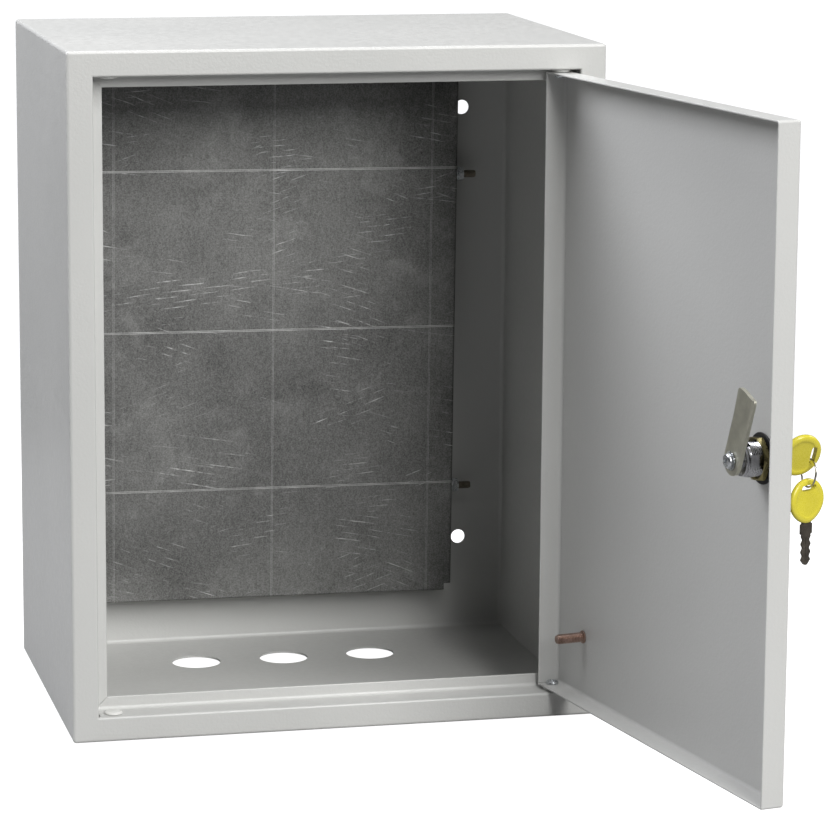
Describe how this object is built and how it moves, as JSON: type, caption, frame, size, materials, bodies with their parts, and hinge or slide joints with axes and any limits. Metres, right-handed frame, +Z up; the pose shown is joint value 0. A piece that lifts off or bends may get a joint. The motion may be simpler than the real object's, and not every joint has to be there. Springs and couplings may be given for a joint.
{
  "type": "fire alarm control panel",
  "caption": "Wall cabinet for a fire alarm control panel: steel casing with mounting plate, hinged door, cam lock and keys",
  "frame": {"origin": "centre of the underside of the casing's floor", "axes": "+Z up, +Y towards the wall behind, so the door side faces -Y, and +X to the right, where the hinges are"},
  "size_m": [0.3709, 0.4773, 0.395],
  "materials": {
    "grey_paint": "satin light grey powder coat",
    "zinc": "bright zinc",
    "white_plastic": "matte white",
    "copper": "copper plating, dull",
    "chrome": "polished plating",
    "black_rubber": "matte black",
    "yellow_zinc": "yellow passivated zinc",
    "nickel": "dull nickel plating",
    "yellow_plastic": "glossy yellow",
    "bronze": "dark bronze plating",
    "ring_wire": "polished wire"
  },
  "bodies": {
    "cabinet": {"casing": "grey_paint", "plate_bracket_lower_left": "grey_paint", "plate_bracket_upper_left": "grey_paint", "plate_bracket_lower_right": "grey_paint", "plate_bracket_upper_right": "grey_paint", "mounting_plate": "zinc", "plate_bolt_lower_left": "zinc", "plate_bolt_upper_left": "zinc", "plate_bolt_lower_right": "zinc", "plate_bolt_upper_right": "zinc", "plate_washer_lower_left": "zinc", "plate_washer_upper_left": "zinc", "plate_washer_lower_right": "zinc", "plate_washer_upper_right": "zinc", "plate_nut_lower_left": "zinc", "plate_nut_upper_left": "zinc", "plate_nut_lower_right": "zinc", "plate_nut_upper_right": "zinc", "hinge_bush_lower": "white_plastic", "hinge_screw_lower": "zinc", "hinge_nut_lower": "zinc", "hinge_plug_lower": "white_plastic", "hinge_bush_upper": "white_plastic", "hinge_screw_upper": "zinc", "hinge_nut_upper": "zinc", "hinge_plug_upper": "white_plastic"},
    "door": {"door_tray": "grey_paint", "earth_stud": "copper", "lock_body": "chrome", "lock_washer": "black_rubber", "lock_nut": "yellow_zinc"},
    "lock_plug": {"lock_cylinder": "chrome", "lock_cam": "nickel", "cam_washer": "zinc", "cam_screw": "zinc"},
    "key": {"key_bow_in_lock": "yellow_plastic", "key_blade_in_lock": "bronze"},
    "key_ring": {"key_ring": "ring_wire"},
    "spare_key": {"spare_key_bow": "yellow_plastic", "spare_key_blade": "bronze"}
  },
  "joints": [
    {"name": "door_hinge", "type": "hinge", "parent": "cabinet", "child": "door", "pos_m": [0.1305, -0.1015, 0.1975], "axis": [0, 0, 1], "range_deg": [-100, 3]},
    {"name": "lock_turn", "type": "hinge", "parent": "door", "child": "lock_plug", "pos_m": [0.17877, -0.33496, 0.198], "axis": [0.9848, 0.1736, 0], "range_deg": [-22, 68]},
    {"name": "key_slide", "type": "slide", "parent": "lock_plug", "child": "key", "axis": [0.9848, 0.1736, 0], "range_m": [0, 0.026]},
    {"name": "ring_swing", "type": "hinge", "parent": "key", "child": "key_ring", "pos_m": [0.20634, -0.32889, 0.19503], "axis": [0.9848, 0.1736, 0], "range_deg": [-1, 40]},
    {"name": "spare_key_swing", "type": "hinge", "parent": "key_ring", "child": "spare_key", "pos_m": [0.20456, -0.3292, 0.18034], "axis": [0.1736, -0.9848, 0], "range_deg": [-20, 20]}
  ]
}
